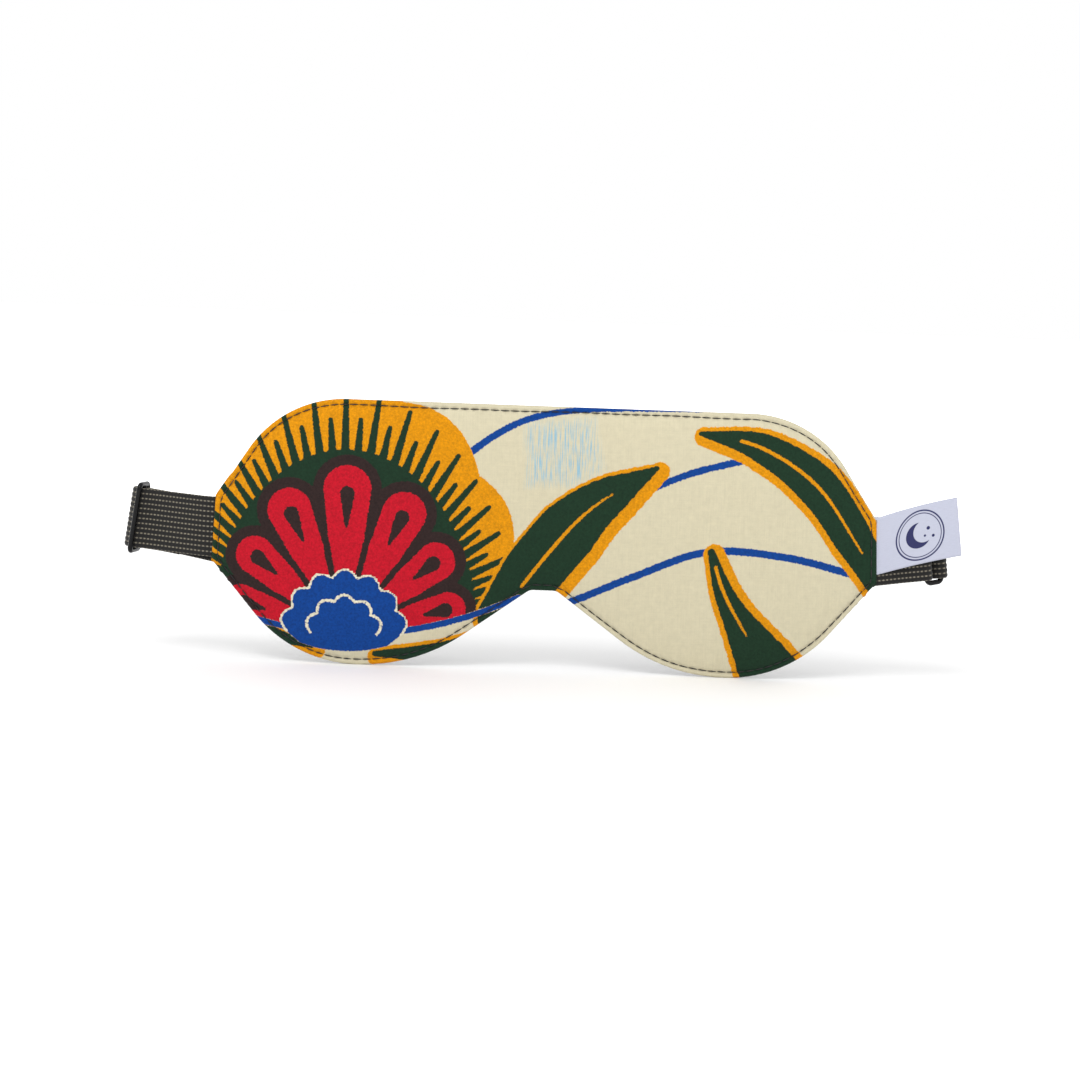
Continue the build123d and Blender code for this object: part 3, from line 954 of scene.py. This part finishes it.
# ---- Ring tab ----
# A short length of the same elastic, looped through the ring, with both tails caught in the
# right ear. Rows of thread hold its two layers together near the ear.
tab_reach = 15.84
tab_y = -hinge_bar[1]
tail_end, tail_half_gap = -tab_reach - 8, 0.62
upper = [(tail_end, tab_y + tail_half_gap), (-tab_reach, tab_y + tail_half_gap), (-8, -0.02)]
lower = [(-8, -1.26), (-tab_reach, tab_y - tail_half_gap), (tail_end, tab_y - tail_half_gap)]
tab_turn = half_turn((0, 0), loop_middle, 95, -95, 16)
tab_path = evened(np.concatenate([upper, tab_turn, lower]), 0.7)
for _ in range(2):
    tab_path[1:-1] = (tab_path[:-2] + 2 * tab_path[1:-1] + tab_path[2:]) / 4
tab_centres = hinge_bar + tab_path[:, :1] * right_run + tab_path[:, 1:] * deep
ring_tab = band_piece("elastic_ring_tab", tab_centres, right_bar)
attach(ring_tab, "mask")
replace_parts(ring_tab, "ring_tab")


tack_half, tack_stitches, tack_lean = 8.6, 17, 0.22
tack_width, tack_lift = 0.3, 0.05


def bartack(name, body, origin, run, across, face_out, node):
    """Three rows of close zigzag stitches right across the band, on one face of it."""
    out = Vector(face_out)

    def build(bm):
        for row in (-0.5, 0, 0.5):
            for k, s in enumerate(np.linspace(-tack_half, tack_half, tack_stitches)):
                lean = tack_lean * (-1) ** k
                a = origin + run * (row - lean) + across * (s - 0.5)
                b = origin + run * (row + lean) + across * (s + 0.5)
                start, end = Vector(a * MM), Vector(b * MM)
                add_stitch(bm, start, end, out, tack_width * MM, tack_lift * MM)
        bmesh.ops.recalc_face_normals(bm, faces=bm.faces)

    piece = make_object(name, build)
    shade_smooth(piece)
    piece.data.materials.append(thread_finish)
    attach(piece, body)
    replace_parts(piece, node)


tack_share = 0.75
tab_tack = hinge_bar - right_run * tab_reach * tack_share + deep * (tab_y * tack_share + 1.32)
bartack("tab_bartack_thread", "mask", tab_tack, right_run, right_bar, (0, 1, 0), "tab_bartack")
end_tack = middle_bar + left_run * 12 - deep * 0.32
bartack("end_bartack_thread", "sewn_end", end_tack, left_run, left_bar, (0, -1, 0), "end_bartack")


# ---- Slider and ring ----
# The slider is a frame of steel wire with a middle bar welded in. The ring is a plain
# rectangle of the same wire. Both are lacquered black.
wire_finish, tree, shader = start_finish("black_lacquered_wire", Roughness=0.25)
shader.inputs["Specular IOR Level"].default_value = 0.2
coords = add_node(tree, "TexCoord").outputs["Object"]
wear = noise(tree, coords, 700.0, 4.0, 0.7)
tree.links.new(tinted(tree, srgb(6, 6, 7), wear, 0.8, 1.3), shader.inputs["Base Color"])
tree.links.new(remap(tree, wear, 0.3, 0.7, 0.16, 0.32), shader.inputs["Roughness"])
for node in ("slider", "ring"):
    frame["nodes"][node].data.materials.clear()
    frame["nodes"][node].data.materials.append(wire_finish)


# ---- Label ----
# A loop of pale satin ribbon, folded at its free end and caught in the right ear's seam
# with its hems in front of the tab. It carries a small woven moon in two rings, in navy.
label_hinge_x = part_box("label")[0].x / MM
label_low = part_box("label_hem")[0].z / MM
label_height = 19.2
label_reach = 27.4
label_rise, label_lean, label_curl = 7.5, -2.6, 0.25
label_hem = 8.0
label_fold = 0.45
ribbon = 0.18
hinge_y = joint_place("label_flip")[1]
fold_x = label_hinge_x + label_reach - label_fold
front_layer = [
    (label_hinge_x - label_hem, hinge_y + 0.32, 0),
    (label_hinge_x, hinge_y + 0.2, 6),
    (label_hinge_x + 7, hinge_y - 0.55, 14),
    (label_hinge_x + 21, hinge_y - 1.15, 20),
    (fold_x, hinge_y - 1.0, 0),
]
back_layer = [
    (label_hinge_x + 20, hinge_y + 0.05, 0),
    (label_hinge_x + 4, hinge_y + 0.42, 10),
    (label_hinge_x - label_hem, hinge_y + 0.53, 0),
]
label_turn = half_turn((fold_x, hinge_y - 0.55), label_fold, -90, 90, 9)[1:]
label_path = np.concatenate(
    [*rounded(front_layer, False, 0.1), label_turn, *rounded(back_layer, False, 0.1)]
)
label_path = evened(label_path, 0.5)


def ribbon_mesh(bm):
    """The folded ribbon, which rises, leans and curls a little towards its free end."""
    rows, columns = len(label_path) - 1, 32
    bmesh.ops.create_grid(bm, x_segments=columns, y_segments=rows, size=1)
    layers = [bm.verts.layers.float.new(key) for key in ("across", "along")]
    distance = lengths(label_path)
    for vert in bm.verts:
        up = vert.co.x / 2 + 0.5
        i = round((vert.co.y / 2 + 0.5) * rows)
        x, y = label_path[i]
        out = max(x - label_hinge_x, 0) / label_reach
        rise = label_rise * out * (1.25 - 0.25 * out)
        lean = label_lean * out * up
        curl = label_curl * out**2 * math.cos(math.pi * up)
        vert[layers[0]], vert[layers[1]] = up * label_height, distance[i]
        vert.co = Vector((x + lean, y + curl, label_low + rise + up * label_height)) * MM


label_piece = make_object("satin_label", ribbon_mesh)
label_piece.data.flip_normals()
shade_smooth(label_piece)
thicken(label_piece, ribbon)
label_finish, tree, shader = start_finish("pale_satin_ribbon", Roughness=0.45)
shader.inputs["Sheen Weight"].default_value = 0.2
shader.inputs["Specular IOR Level"].default_value = 0.4
across_mm, along_mm = kept_on_mesh(tree, "across"), kept_on_mesh(tree, "along")
moon_along, moon_across = label_hem + 14.0, label_height / 2 - 0.1


def disc(radius, aside_along=0.0, aside_across=0.0):
    """How far inside a circle on the label's face, set beside the moon's place, in mm."""
    a = maths(tree, "SUBTRACT", along_mm, moon_along + aside_along)
    b = maths(tree, "SUBTRACT", across_mm, moon_across + aside_across)
    flat_place = add_node(tree, "CombineXYZ", {"X": a, "Y": b}).outputs[0]
    away = add_node(tree, "VectorMath", {0: flat_place}, operation="LENGTH").outputs["Value"]
    return maths(tree, "SUBTRACT", radius, away)


def less(shape, hole):
    """How far inside a shape and outside a hole in it."""
    return maths(tree, "MINIMUM", shape, maths(tree, "MULTIPLY", hole, -1.0))


outer_ring, inner_ring = less(disc(8.3), disc(7.8)), less(disc(7.3), disc(7.0))
moon = less(disc(4.2, -0.6), disc(3.6, 1.3, 1.0))
mark = maths(tree, "MAXIMUM", maths(tree, "MAXIMUM", outer_ring, inner_ring), moon)
for star in (disc(0.6, 2.8, 1.8), disc(0.5, 4.4, -1.0), disc(0.4, 1.6, -0.5)):
    mark = maths(tree, "MAXIMUM", mark, star)
inked = remap(tree, mark, -0.06, 0.06)
picks = maths(tree, "SINE", maths(tree, "MULTIPLY", across_mm, 2 * math.pi / 0.22))
place_mm = add_node(tree, "CombineXYZ", {"X": across_mm, "Y": along_mm}).outputs[0]
drawn = add_node(tree, "Mapping", {"Vector": place_mm, "Scale": (9.0, 0.5, 1)}).outputs[0]
colour = tinted(tree, srgb(184, 187, 204), noise(tree, drawn, 1.0, 3.0), 0.93, 1.06)
colour = layered(tree, colour, srgb(20, 24, 82), inked)
tree.links.new(colour, shader.inputs["Base Color"])
set_relief(tree, shader, picks, 0.25, 0.00004)
label_piece.data.materials.append(label_finish)
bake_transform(label_piece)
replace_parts(label_piece, "label", "label_hem")
